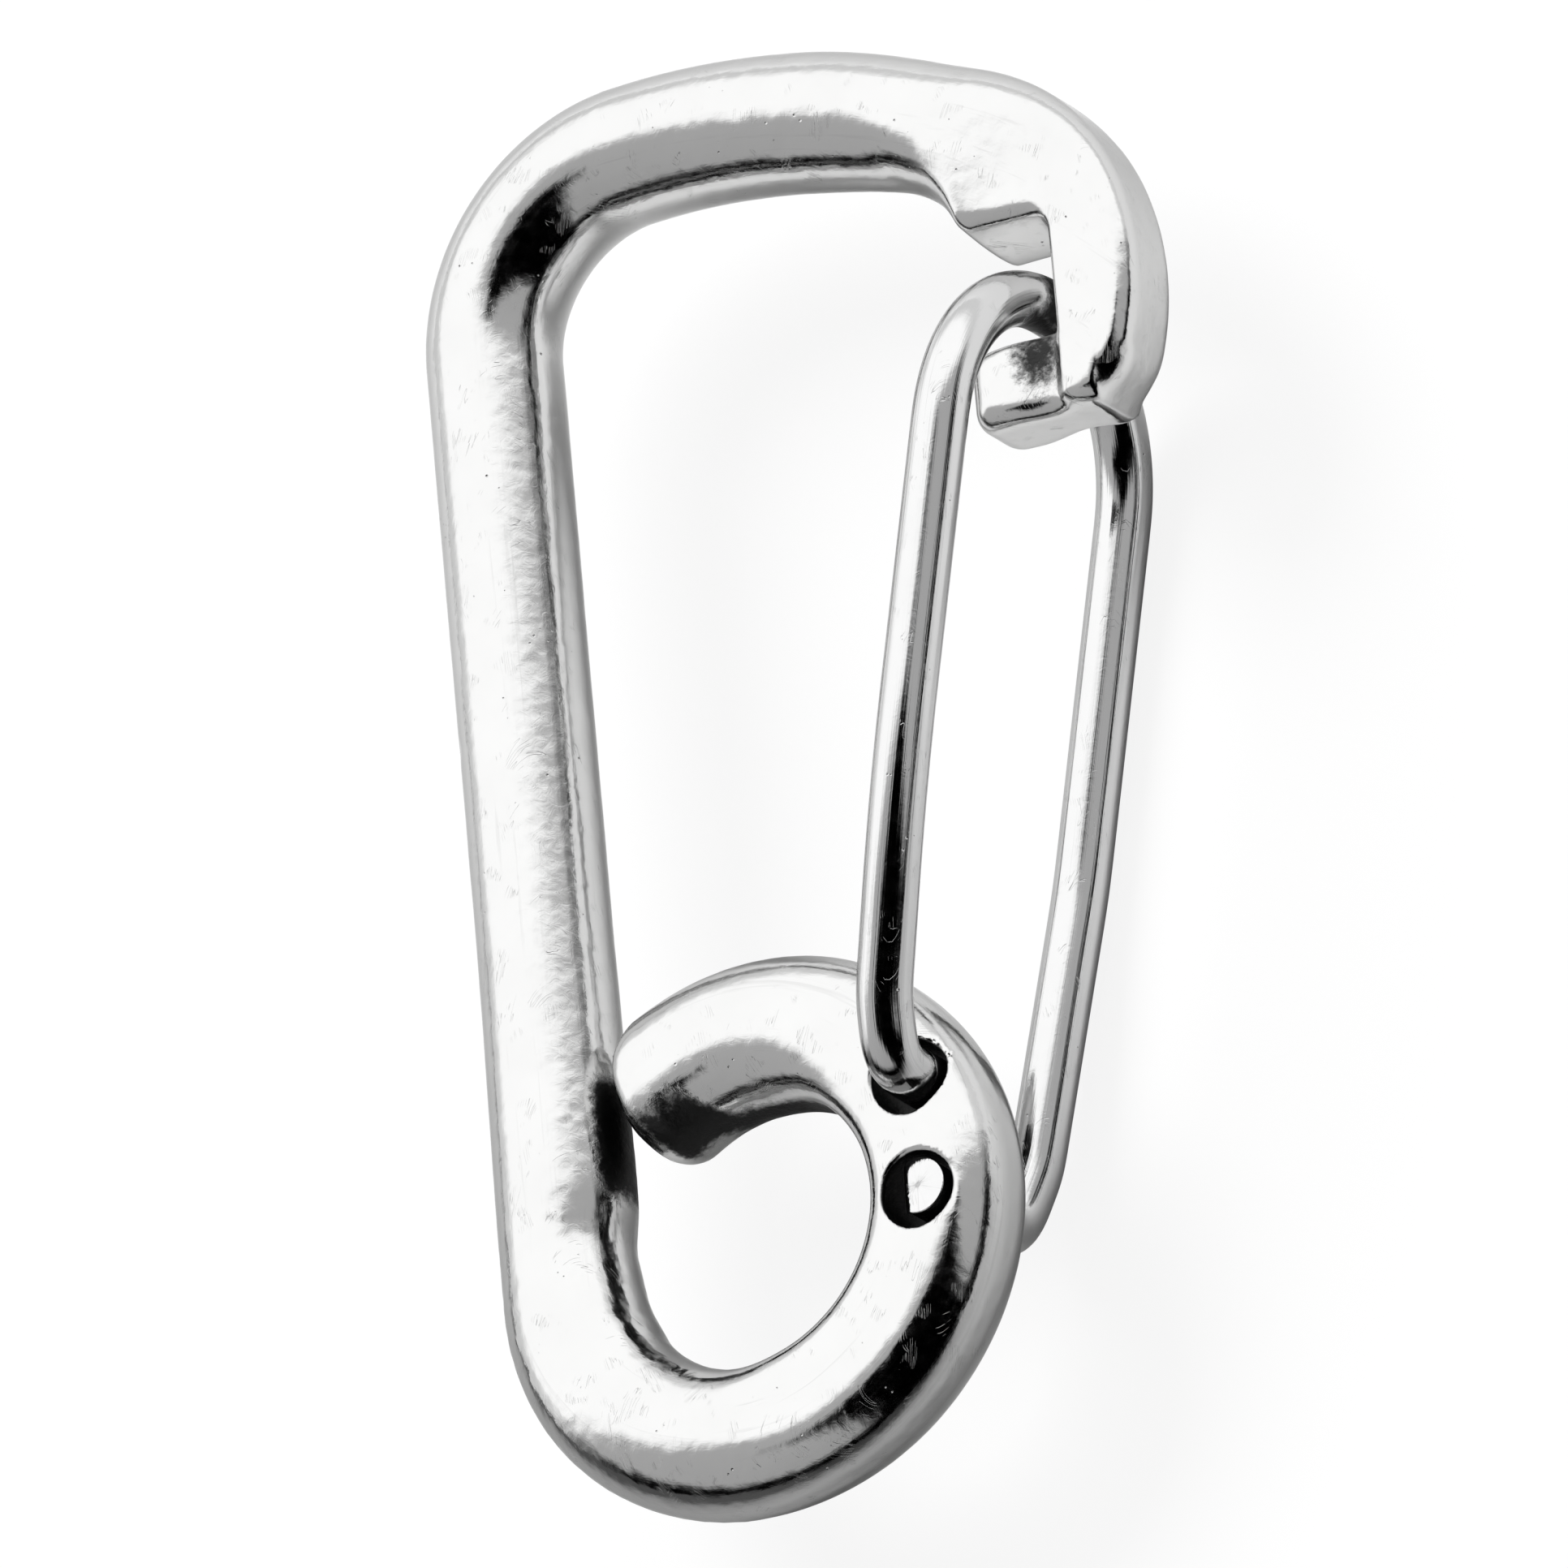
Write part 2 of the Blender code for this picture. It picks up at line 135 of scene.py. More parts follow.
# ---- surface wear: heights in mm, noise scales per mm ----
WAVE_HEIGHT, WAVE_SCALE = 0.020, 0.16
RIPPLE_HEIGHT, RIPPLE_SCALE = 0.006, 0.70
SKIN_HEIGHT, ROOT_HEIGHT, SKIN_SCALE = 0.022, 0.040, 1.1
DENTS = (  # centre, radius, depth
    ((33.3, 50.9, 2.2), 0.70, 0.15),
    ((-4.0, 9.2, 3.9), 0.55, 0.16),
    ((7.5, 74.8, 4.2), 0.8, 0.07),
    ((3.8, 72.6, 4.0), 0.6, 0.08),
    ((10.5, 71.6, 3.6), 0.9, 0.07),
    ((-13.2, 24.6, 4.3), 0.7, 0.05),
    ((-17.6, 38.0, 2.6), 0.8, 0.05),
)


def polar(centre, radius, degrees):
    angle = math.radians(degrees)
    return np.array([centre[0] + radius * math.cos(angle), centre[1] + radius * math.sin(angle)])


def ease(value):
    value = np.clip(value, 0.0, 1.0)
    return value * value * (3.0 - 2.0 * value)


def ramp(value, zero, one):
    """0 on one side of zero, 1 past one, smooth between them."""
    return ease((value - zero) / (one - zero))


def hump(value, centre, width):
    return np.exp(-((value - centre) / width) ** 2)


def plane(x, y, point, normal):
    return (x - point[0]) * normal[0] + (y - point[1]) * normal[1]


def mixed(first, second, share):
    share = np.asarray(share)[..., None]
    return np.asarray(first) * (1.0 - share) + np.asarray(second) * share


def round_join(a, b, radius):
    """Union of two distances with a fillet of that radius. A distance is negative inside its shape."""
    near = np.hypot(np.maximum(radius - a, 0.0), np.maximum(radius - b, 0.0))
    return np.maximum(radius, np.minimum(a, b)) - near


def round_cut(a, b, radius):
    """Intersection of two distances with its edge rounded to that radius."""
    near = np.hypot(np.maximum(radius + a, 0.0), np.maximum(radius + b, 0.0))
    return np.minimum(-radius, np.maximum(a, b)) + near


def section_distance(side, deep, section):
    """Distance to a bar whose section is a rectangle with rounded corners, each side with its own reach."""
    inner = side > 0.0
    reach = np.where(inner, section[..., 1], section[..., 0])
    corner = np.where(inner, section[..., 4], section[..., 3])
    corner = np.minimum(corner, np.minimum(reach, section[..., 2]))
    across = np.abs(side) - reach + corner
    out = np.abs(deep) - section[..., 2] + corner
    outside = np.hypot(np.maximum(across, 0.0), np.maximum(out, 0.0))
    return outside + np.minimum(np.maximum(across, out), 0.0) - corner


def ring_section(degrees):
    """Clockwise from the curl: nearly round, pressed flat on the gate side, round again at the foot."""
    upper = mixed(FLAT, CURL, ease((degrees - FLAT_TOP) / FLAT_FADE))
    lower = mixed(FLAT, FOOT, ease((FLAT_BOTTOM - degrees) / FLAT_FADE))
    foot = mixed(FOOT, SPINE, ease((FOOT_FROM - degrees) / FOOT_FADE))
    chosen = np.where((degrees > FLAT_BOTTOM)[..., None], upper, lower)
    return np.where((degrees < FOOT_FROM)[..., None], foot, chosen)


def ring_distance(x, y, z):
    degrees = np.degrees(np.arctan2(y, x))
    degrees = np.where(degrees > CURL_END + 40.0, degrees - 360.0, degrees)
    radius = EYE_RADIUS + ease((-90.0 - degrees) / 90.0) * (-SPINE_X - EYE_RADIUS)
    radius = radius - ramp(degrees, CURL_TUCK_FROM, CURL_END) * CURL_TUCK
    distance = section_distance(radius - np.hypot(x, y), z, ring_section(degrees))
    last = polar((0.0, 0.0), EYE_RADIUS - CURL_TUCK, CURL_END)
    along = polar((0.0, 0.0), 1.0, CURL_END - 90.0)
    beyond = -((x - last[0]) * along[0] + (y - last[1]) * along[1])
    side = (x - last[0]) * along[1] - (y - last[1]) * along[0]
    straight = section_distance(side, z, np.asarray(CURL))
    in_curl = degrees > CURL_END - CURL_OVERLAP
    past = beyond > 0.0
    distance = np.where(in_curl & past, straight, distance)
    end = np.where(in_curl, np.where(past, beyond, np.radians(degrees - CURL_END) * EYE_RADIUS), INSIDE)
    distance = round_cut(distance, end - CURL_CUT, CURL_CUT_EDGE)
    trimmed = np.where(in_curl, plane(x, y, CURL_TRIM, CURL_TRIM_NORMAL), INSIDE)
    distance = round_cut(distance, trimmed, CURL_TRIM_EDGE)
    return np.where(degrees < RING_LAST, OUTSIDE, distance)


def spine_section(y):
    """The foot's section at the bottom, the plain round bar from a little under half way up."""
    start = ring_section(np.full(np.shape(y), -180.0))
    share = ease(2.3 * y / CORNER_Y)[..., None]
    return start * (1.0 - share) + np.asarray(SPINE) * share


def spine_distance(x, y, z):
    distance = section_distance(x - SPINE_X, z, spine_section(y))
    return np.where((y < -SPINE_OVERLAP) | (y > CORNER_Y + SPINE_OVERLAP), OUTSIDE, distance)


def arc_distance(x, y, z, centre, radius, start, end, section_at):
    degrees = np.degrees(np.arctan2(y - centre[1], x - centre[0]))
    distance = section_distance(radius - np.hypot(x - centre[0], y - centre[1]), z, section_at(degrees))
    return np.where((degrees > start + ARC_OVERLAP) | (degrees < end - ARC_OVERLAP), OUTSIDE, distance)


def hook_end_distance(x, y, z):
    """Crown, neck and nose: one outline in the plane, thickened, its edges going from round to forged."""
    arch_angle = np.degrees(np.arctan2(y - CROWN_CENTRE[1], x - CROWN_CENTRE[0]))
    arch_reach = np.hypot(x - CROWN_CENTRE[0], y - CROWN_CENTRE[1])
    angle = np.degrees(np.arctan2(y - NOSE_CENTRE[1], x - NOSE_CENTRE[0]))
    reach = np.hypot(x - NOSE_CENTRE[0], y - NOSE_CENTRE[1])
    last = polar(NOSE_CENTRE, NOSE_RADIUS, NOSE_END)
    along = polar((0.0, 0.0), 1.0, NOSE_END - 90.0)
    run = (x - last[0]) * along[0] + (y - last[1]) * along[1]
    in_tip = run > 0.0
    in_arch = ~in_tip & ((angle > CROWN_END) | (angle < NOSE_END))
    tip_side = (y - last[1]) * along[0] - (x - last[0]) * along[1]
    side = np.where(in_arch, arch_reach - ARCH_RADIUS, reach - NOSE_RADIUS)
    side = np.where(in_tip, tip_side, side)

    travel = np.where(in_arch, np.radians(CROWN_END - arch_angle) * ARCH_RADIUS,
                      np.radians(CROWN_END - angle) * NOSE_RADIUS)
    before = in_arch & (angle < 0.0)
    travel = np.where(before, FORGED_FROM, travel)
    forged = np.where(in_tip, 1.0, ramp(travel, FORGED_FROM, FORGED_TO))
    bar = CROWN_BAR + (NECK_BAR - CROWN_BAR) * ramp(arch_angle, NECK_FROM, CROWN_END)
    bar = np.where(in_arch, bar, NECK_BAR)
    outer = side - bar - (NOSE_OUTER - NECK_BAR) * forged

    slope = math.radians(SHOULDER_SLOPE)
    across = np.clip(z / NOSE_HALF_DEPTH, -1.0, 1.0)
    bulge = SHOULDER_BULGE * (1.0 - across ** 2) + SHOULDER_TILT * (0.5 - 0.5 * across)
    above = (y - SHOULDER_Y) * math.cos(slope) - (x - WALL_X) * math.sin(slope) + bulge
    flank = plane(x, y, FLANK, FLANK_NORMAL)
    shoulder = np.maximum(np.maximum(flank, reach - SHOULDER_REACH), -above - SHOULDER_THICK)
    inner = round_join(-side - bar, shoulder, NECK_FILLET)
    notch = round_cut(x - WALL_X, above, NOTCH_CORNER)
    inner = round_cut(inner, -notch, NOTCH_EDGE)
    tip = np.where(run > -TIP_LENGTH, run - NOSE_STRAIGHT, INSIDE)
    tip_edge = TIP_EDGE + TIP_EDGE_GAIN * ease((side - TIP_EDGE_FROM) / TIP_EDGE_FADE)
    outline = round_cut(np.maximum(inner, outer), tip, tip_edge)

    inner_forged = np.where(in_tip, 1.0, ease((CROWN_END + INNER_EDGE_LEAD - angle) / INNER_EDGE_FADE))
    inner_edge = np.where(before, bar, bar + (NOSE_INNER_EDGE - bar) * inner_forged)
    outer_edge = bar + (NOSE_OUTER_EDGE - bar) * forged
    total = np.minimum(inner, 0.0) + np.minimum(outer, 0.0)
    share = np.clip(np.minimum(inner, 0.0) / np.minimum(total, -1e-6), 0.0, 1.0)
    edge = inner_edge + (outer_edge - inner_edge) * ease(share)
    half_depth = bar + (NOSE_HALF_DEPTH - bar) * forged
    distance = round_cut(outline, np.abs(z) - half_depth, edge)
    for normal, offset, radius in BEVELS:
        bevel = x * normal[0] + y * normal[1] + np.abs(z) * normal[2] + offset
        distance = round_cut(distance, bevel, radius)
    return np.where((arch_angle > 90.0 + ARC_OVERLAP) | (y < HOOK_END_FLOOR), OUTSIDE, distance)


def lip_distance(x, y, z):
    """The lip that reaches back through the gate: a bulb at its tip, a saddle, and a fillet into the nose."""
    plan = round_cut(np.abs(y - LIP_Y) - LIP_HALF_HEIGHT, LIP_TIP_X - x, LIP_CORNER)
    depth = LIP_HALF_DEPTH - SADDLE_DEPTH * hump(x, SADDLE_X, SADDLE_LENGTH)
    edge = LIP_EDGE + LIP_TIP_GAIN * hump(x, LIP_TIP_X, LIP_TIP_LENGTH)
    lip = round_cut(plan, np.abs(z) - depth, edge)
    return np.maximum(lip, x - LIP_ROOT_X)


def body_distance(points):
    x, y, z = points[..., 0], points[..., 1], points[..., 2]
    corner = arc_distance(x, y, z, CORNER_CENTRE, CORNER_RADIUS, 180.0, 90.0,
                          lambda degrees: mixed(SPINE, CROWN, np.clip((180.0 - degrees) / 90.0, 0.0, 1.0)))
    nose = round_join(hook_end_distance(x, y, z), lip_distance(x, y, z), LIP_FILLET)
    body = np.minimum(corner, nose)
    body = np.minimum(body, np.minimum(spine_distance(x, y, z), ring_distance(x, y, z)))
    for hole in (UPPER_HOLE, LOWER_HOLE):
        body = round_cut(body, HOLE_RADIUS - np.hypot(x - hole[0], y - hole[1]), HOLE_EDGE)
    return body


def surface_net(low, high, cell):
    """Vertices and quads of the zero surface of body_distance."""
    counts = np.ceil((high - low) / cell).astype(int) + 1
    axes = [low[axis] + cell * np.arange(counts[axis]) for axis in range(3)]
    values = np.empty(counts)
    for first in range(0, counts[0], SLAB):
        block = np.stack(np.meshgrid(axes[0][first:first + SLAB], axes[1], axes[2], indexing="ij"), axis=-1)
        values[first:first + SLAB] = body_distance(block)
    inside = values < 0.0
    cells = tuple(count - 1 for count in counts)
    total, crossings = np.zeros((*cells, 3)), np.zeros(cells)
    for axis in range(3):
        here = [slice(None)] * 3
        there = [slice(None)] * 3
        here[axis], there[axis] = slice(0, -1), slice(1, None)
        a, b = values[tuple(here)], values[tuple(there)]
        change = (a < 0.0) != (b < 0.0)
        share = np.where(change, a / np.where(change, a - b, 1.0), 0.0)
        others = [other for other in range(3) if other != axis]
        for i in (0, 1):
            for j in (0, 1):
                cut = [slice(None)] * 3
                cut[others[0]] = slice(i, cells[others[0]] + i)
                cut[others[1]] = slice(j, cells[others[1]] + j)
                hit = change[tuple(cut)]
                crossings += hit
                total[..., axis] += np.where(hit, share[tuple(cut)], 0.0)
                total[..., others[0]] += hit * i
                total[..., others[1]] += hit * j
    active = np.argwhere(crossings > 0)
    number = np.full(cells, -1)
    number[tuple(active.T)] = np.arange(len(active))
    offset = total[tuple(active.T)] / crossings[tuple(active.T)][:, None]
    vertices = low + cell * (active + offset)
    quads = []
    for axis in range(3):
        here = [slice(1, -1)] * 3
        there = [slice(1, -1)] * 3
        here[axis], there[axis] = slice(0, -1), slice(1, None)
        change = inside[tuple(here)] != inside[tuple(there)]
        edges = np.argwhere(change)
        starts = inside[tuple(here)][tuple(edges.T)]
        base = edges + 1
        base[:, axis] -= 1
        u, v = (axis + 1) % 3, (axis + 2) % 3
        corners = []
        for du, dv in ((-1, -1), (0, -1), (0, 0), (-1, 0)):
            place = base.copy()
            place[:, u] += du
            place[:, v] += dv
            corners.append(number[tuple(place.T)])
        quad = np.stack(corners, axis=1)
        quads.append(np.where(starts[:, None], quad, quad[:, ::-1]))
    return vertices, np.concatenate(quads)


def gradient(points):
    """The direction straight out of the surface at each point."""
    result = np.empty_like(points)
    for axis in range(3):
        shift = np.zeros(3)
        shift[axis] = GRADIENT_STEP
        result[:, axis] = body_distance(points + shift) - body_distance(points - shift)
    return result / np.maximum(np.linalg.norm(result, axis=1, keepdims=True), 1e-9)


def settled(vertices, cell):
    """The net's vertices drawn onto the surface itself."""
    limit = SETTLE_LIMIT * cell
    for _ in range(SETTLE_ROUNDS):
        move = body_distance(vertices)[:, None] * gradient(vertices)
        vertices = vertices - np.clip(move, -limit, limit)
    return vertices


def along_bar(points):
    """Each point's place across the bar, and how far along it lies, in mm from the foot of the spine."""
    x, y = points[:, 0], points[:, 1]
    degrees = np.degrees(np.arctan2(y, x))
    eye = (y < 0.0) | (np.hypot(x, y) < 18.9) & (x > -9.3)
    ring = np.where(degrees > 150.0, degrees - 360.0, degrees)
    run = np.where(eye, -np.radians(ring + 180.0) * EYE_RADIUS, y)
    side = np.where(eye, EYE_RADIUS - np.hypot(x, y), x - SPINE_X)
    turn = np.degrees(np.arctan2(y - CORNER_Y, x - CORNER_CENTRE[0]))
    corner = (y > CORNER_Y) & (x < CORNER_CENTRE[0]) & ~eye
    run = np.where(corner, CORNER_Y + np.radians(180.0 - turn) * CORNER_RADIUS, run)
    side = np.where(corner, CORNER_RADIUS - np.hypot(x - CORNER_CENTRE[0], y - CORNER_Y), side)
    top = (y > 45.0) & (x >= CORNER_CENTRE[0]) & ~eye
    arch = np.degrees(np.arctan2(y - CROWN_CENTRE[1], x - CROWN_CENTRE[0]))
    length = CORNER_Y + math.pi / 2.0 * CORNER_RADIUS + np.radians(90.0 - arch) * ARCH_RADIUS
    run = np.where(top, length, run)
    side = np.where(top, ARCH_RADIUS - np.hypot(x - CROWN_CENTRE[0], y - CROWN_CENTRE[1]), side)
    return np.stack([side, points[:, 2], run], axis=1)


def noise_at(points, scale, octaves):
    return np.array([noise.fractal(Vector(point), 1.0, 2.0, octaves) for point in points * scale])


def dent(points, centre, radius, depth):
    distance = np.linalg.norm(points - np.array(centre), axis=1)
    return -depth * np.exp(-((distance / radius) ** 2) * 1.5)


def worn(points, normals):
    """Forging waviness, the coarse skin low on the spine and foot, and a few dents."""
    x, y, z = points.T
    lift = WAVE_HEIGHT * noise_at(points, WAVE_SCALE, 2) + RIPPLE_HEIGHT * noise_at(points, RIPPLE_SCALE, 2)
    foot = ramp(y, 14.0, 0.0) * ramp(x, 2.0, -6.0)
    curl = ramp(y, 5.0, 10.0) * ramp(x, 9.0, 3.0) * (np.hypot(x, y) < 19.0)
    coarse = np.maximum(foot, 0.6 * curl)
    # the spine's inner side swells below the curl's end and is worn hollow beside it
    inner = np.clip(normals[:, 0], 0.0, 1.0) * ramp(x, -8.0, -9.5)
    lift += inner * (0.35 * hump(y, -5.0, 2.0) - 0.45 * hump(y, 2.5, 2.2))
    lip_root = hump(x, 28.2, 1.5) * hump(y, 50.5, 3.2)
    lift += (SKIN_HEIGHT * coarse + ROOT_HEIGHT * lip_root) * noise_at(points, SKIN_SCALE, 3)
    for centre, radius, depth in DENTS:
        lift += dent(points, centre, radius, depth)
    return points + normals * lift[:, None]


def body_painted_shade(points):
    """Painted shade: how dark to colour the lip's root, the curl's underside and the gap between the curl and
    spine, where shade falls.
    """
    x, y, z = points.T
    lip_root = hump(x, 27.0, 2.4) * hump(y, 52.4, 3.2) * (x < WALL_X)
    reach, degrees = np.hypot(x, y), np.degrees(np.arctan2(y, x))
    near_end = ramp(degrees, 90.0, 112.0)
    under = ease((EYE_RADIUS - 2.6 + 1.3 * near_end - reach) / 1.6)
    under = under * ramp(degrees, 12.0, 52.0) * ramp(degrees, 132.0, 124.0) * (x > -9.4)
    under = under * (1.0 - 0.65 * near_end * ramp(z, 1.0, -1.0))
    under = under * ease((2.6 + 2.8 * near_end - z) / 2.4)
    gap = ramp(x, -11.6, -10.0) * ramp(x, -5.5, -7.0) * ramp(y, 3.0, 7.0) * ramp(y, 15.0, 12.0)
    gap = gap * ramp(z, 3.6, 1.6)
    return np.maximum(np.maximum(0.78 * lip_root, 0.85 * under), 0.9 * gap)


def wire_painted_shade(points):
    """Painted shade on the wire: dark in the drilled holes, in the notch and under its U bend, where shade
    falls, but not on its cut face.
    """
    x, y, z = points.T
    deep = np.abs(z)
    bend = ramp(x, 26.5, 28.3) * ramp(y, 52.0, 53.5) * ramp(deep, 5.0, 1.6)
    under = ramp(y, 55.4, 54.5) * ramp(y, 53.2, 54.0) * ramp(deep, 6.8, 2.8)
    scale = np.maximum(0.95 * bend, 0.8 * under)
    for hole in (UPPER_HOLE, LOWER_HOLE):
        scale = np.maximum(scale, (np.hypot(x - hole[0], y - hole[1]) < 3.0) * ramp(deep, 3.9, 3.1))
    cut_face = (z > wire_corners()[-1][0][2] - END_EDGE) & (y < 2.0)
    return np.where(cut_face, 0.0, scale)


def make_piece(name, points, faces, grain, scale):
    """A smooth mesh from drawing points in mm, with each point's place in the bar's grain, and how much
    painted shade it carries, kept in the scale attribute.
    """
    mesh = bpy.data.meshes.new(name)
    world = (points + EYE) * MM
    world = np.clip(world, np.array(cad_low), np.array(cad_high))
    mesh.from_pydata(world.tolist(), [], faces)
    attribute = mesh.attributes.new("grain", "FLOAT_VECTOR", "POINT")
    attribute.data.foreach_set("vector", np.asarray(grain, np.float32).ravel())
    # the scale attribute is painted shade: how dark the material colours each point where shade falls
    attribute = mesh.attributes.new("scale", "FLOAT", "POINT")
    attribute.data.foreach_set("value", np.asarray(scale, np.float32))
    mesh.polygons.foreach_set("use_smooth", np.ones(len(mesh.polygons), bool))
    mesh.update()
    piece = bpy.data.objects.new(name, mesh)
    bpy.context.scene.collection.objects.link(piece)
    return piece


def build_body():
    cell = CELL * 1.0
    vertices, quads = surface_net(np.array(BODY_LOW), np.array(BODY_HIGH), cell)
    vertices = settled(vertices, cell)
    points = worn(vertices, gradient(vertices))
    return make_piece("forged_hook", points, quads.tolist(), along_bar(vertices), body_painted_shade(vertices))


# ---- gate wire: corners of its path, each with a bend radius ----
WIRE_RADIUS = 1.82
GATE_FOOT, GATE_LEAN, LEG_SPREAD = (16.90, 13.14), 12.85, 11.37
KNEE, GATE_TOP = 9.1, 44.41  # along the gate from its foot
KNEE_BEND, U_BEND = 45.0, 10.6
UPPER_SEAT, LOWER_SEAT = (0.28, 0.10), (-0.28, 0.62)  # where each end sits, from the middle of its hole
WIRE_IN_HOLE = 3.1  # how deep each end reaches from the middle of the hook
UPPER_ELBOW, UPPER_ELBOW_BEND = (0.0, 0.0, 6.15), 2.0
UPPER_RISE, UPPER_RISE_BEND = (0.75, 3.9, 7.65), 7.0
LOWER_FALL, LOWER_FALL_BEND = (-10.0, -9.75), 4.0  # along the gate, and out of the hook's plane
LOWER_ELBOW, LOWER_ELBOW_BEND = (0.0, 0.0, -8.40), 2.3
WIRE_SMOOTHING = 10
START_EDGE, END_EDGE, END_FLARE = 0.28, 0.12, 0.10  # rounding of the two ends, and the sheared end's burr
FACE_RINGS = (0.85, 0.7, 0.55, 0.4, 0.25, 0.1)
SHEAR_SLOPE, SHEAR_START, SHEAR_FLOOR, SHEAR_REACH = 1.6, 0.85, 0.5, 2.2


def gate_point(along, z):
    lean = math.radians(GATE_LEAN)
    return np.array([GATE_FOOT[0] + along * math.sin(lean), GATE_FOOT[1] + along * math.cos(lean), z])


def wire_corners():
    """The corners from the near leg's end, up that leg, round the U bend and down the far leg."""
    upper = np.array([UPPER_HOLE[0] + UPPER_SEAT[0], UPPER_HOLE[1] + UPPER_SEAT[1], 0.0])
    lower = np.array([LOWER_HOLE[0] + LOWER_SEAT[0], LOWER_HOLE[1] + LOWER_SEAT[1], 0.0])
    return [
        (upper + [0.0, 0.0, -WIRE_IN_HOLE], 0.0),
        (upper + UPPER_ELBOW, UPPER_ELBOW_BEND),
        (upper + UPPER_RISE, UPPER_RISE_BEND),
        (gate_point(KNEE, LEG_SPREAD), KNEE_BEND),
        (gate_point(GATE_TOP, LEG_SPREAD), U_BEND),
        (gate_point(GATE_TOP, -LEG_SPREAD), U_BEND),
        (gate_point(KNEE, -LEG_SPREAD), KNEE_BEND),
        (gate_point(*LOWER_FALL), LOWER_FALL_BEND),
        (lower + LOWER_ELBOW, LOWER_ELBOW_BEND),
        (lower + [0.0, 0.0, WIRE_IN_HOLE], 0.0),
    ]


def rounded_path(corners):
    """The path through the corners, each turned into an arc of its own bend radius."""
    path = [corners[0][0]]
    for index in range(1, len(corners) - 1):
        corner, radius = corners[index]
        before = corners[index - 1][0] - corner
        after = corners[index + 1][0] - corner
        before, after = before / np.linalg.norm(before), after / np.linalg.norm(after)
        half = math.acos(float(np.clip(before @ after, -1.0, 1.0))) / 2.0
        start = corner + before * radius / math.tan(half)
        middle = before + after
        centre = corner + middle / np.linalg.norm(middle) * radius / math.sin(half)
        end = corner + after * radius / math.tan(half)
        axis = Vector(np.cross(start - centre, end - centre)).normalized()
        for step in range(BEND_STEPS + 1):
            turn = Matrix.Rotation((math.pi - 2.0 * half) * step / BEND_STEPS, 3, axis)
            path.append(centre + np.array(turn @ Vector(start - centre)))
    path.append(corners[-1][0])
    return np.array(path)


def resampled(path, step):
    """Evenly spaced points along the path, and how far along it each lies."""
    gaps = np.linalg.norm(np.diff(path, axis=0), axis=1)
    run = np.concatenate([[0.0], np.cumsum(gaps)])
    keep = np.concatenate([[True], gaps > 1e-6])
    count = int(round(run[-1] / step))
    places = np.linspace(0.0, run[-1], count + 1)
    return np.stack([np.interp(places, run[keep], path[keep, axis]) for axis in range(3)], axis=1), places


def softened(path, passes):
    for _ in range(passes):
        path[1:-1] = 0.25 * path[:-2] + 0.5 * path[1:-1] + 0.25 * path[2:]
    return path


def build_wire():
    """Round rings along the gate's path, the first end rounded over, the second sheared and burred."""
    path, places = resampled(rounded_path(wire_corners()), WIRE_STEP)
    path = softened(path, WIRE_SMOOTHING)
    along = np.gradient(path, axis=0)
    along /= np.linalg.norm(along, axis=1, keepdims=True)
    side = np.array([1.0, 0.0, 0.0])
    profile = []
    for index in range(len(path)):
        side = side - along[index] * (side @ along[index])
        side /= np.linalg.norm(side)
        up = np.cross(along[index], side)
        profile.append((path[index], side.copy(), up, places[index]))
    angles = 2.0 * np.pi * np.arange(WIRE_AROUND) / WIRE_AROUND
    rings, grain = [], []

    def ring(point, side, up, place, radius, shift):
        spokes = np.outer(np.cos(angles), side) + np.outer(np.sin(angles), up)
        rings.append(point + spokes * radius + shift)
        grain.append(np.stack([np.cos(angles) * WIRE_RADIUS, np.sin(angles) * WIRE_RADIUS,
                               np.full(WIRE_AROUND, place)], axis=1))

    start, end = profile[0], profile[-1]
    for step in range(CAP_STEPS):
        turn = math.pi / 2.0 * step / CAP_STEPS
        radius = WIRE_RADIUS - START_EDGE * (1.0 - math.sin(turn))
        ring(*start, radius, along[0] * START_EDGE * (1.0 - math.cos(turn)))
    for entry in profile[1:-1]:
        ring(*entry, WIRE_RADIUS, 0.0)
    end_radius = WIRE_RADIUS + END_FLARE
    for step in range(CAP_STEPS):
        turn = math.pi / 2.0 * (step + 1) / CAP_STEPS
        radius = end_radius - END_EDGE * (1.0 - math.cos(turn))
        ring(*end, radius, along[-1] * END_EDGE * (math.sin(turn) - 1.0))
    for share in FACE_RINGS:
        ring(*end, (end_radius - END_EDGE) * share, 0.0)
    points = np.concatenate(rings)
    grain = np.concatenate(grain)
    rows = len(rings)
    grid = np.arange(rows * WIRE_AROUND).reshape(rows, WIRE_AROUND)
    following = np.roll(grid, -1, axis=1)
    quads = np.stack([grid[:-1], following[:-1], following[1:], grid[1:]], axis=-1)
    faces = quads.reshape(-1, 4).tolist()
    first_centre = len(points)
    points = np.concatenate([points, [rings[0].mean(axis=0)], [rings[-1].mean(axis=0)]])
    grain = np.concatenate([grain, [[0.0, 0.0, places[0]]], [[0.0, 0.0, places[-1]]]])
    for index in range(WIRE_AROUND):
        after = (index + 1) % WIRE_AROUND
        faces.append([first_centre, int(grid[0, after]), int(grid[0, index])])
        faces.append([first_centre + 1, int(grid[-1, index]), int(grid[-1, after])])
    tip = wire_corners()[-1][0]
    aside, deep = points[:, 0] - tip[0], points[:, 2]
    near_tip = (np.hypot(aside, points[:, 1] - tip[1]) < SHEAR_REACH) & (deep > 0.0)
    sheared = np.maximum(tip[2] + (aside + SHEAR_START) * SHEAR_SLOPE, SHEAR_FLOOR)
    points[:, 2] = np.where(near_tip, np.minimum(deep, sheared), deep)
    return make_piece("gate_wire", points, faces, grain, wire_painted_shade(points))


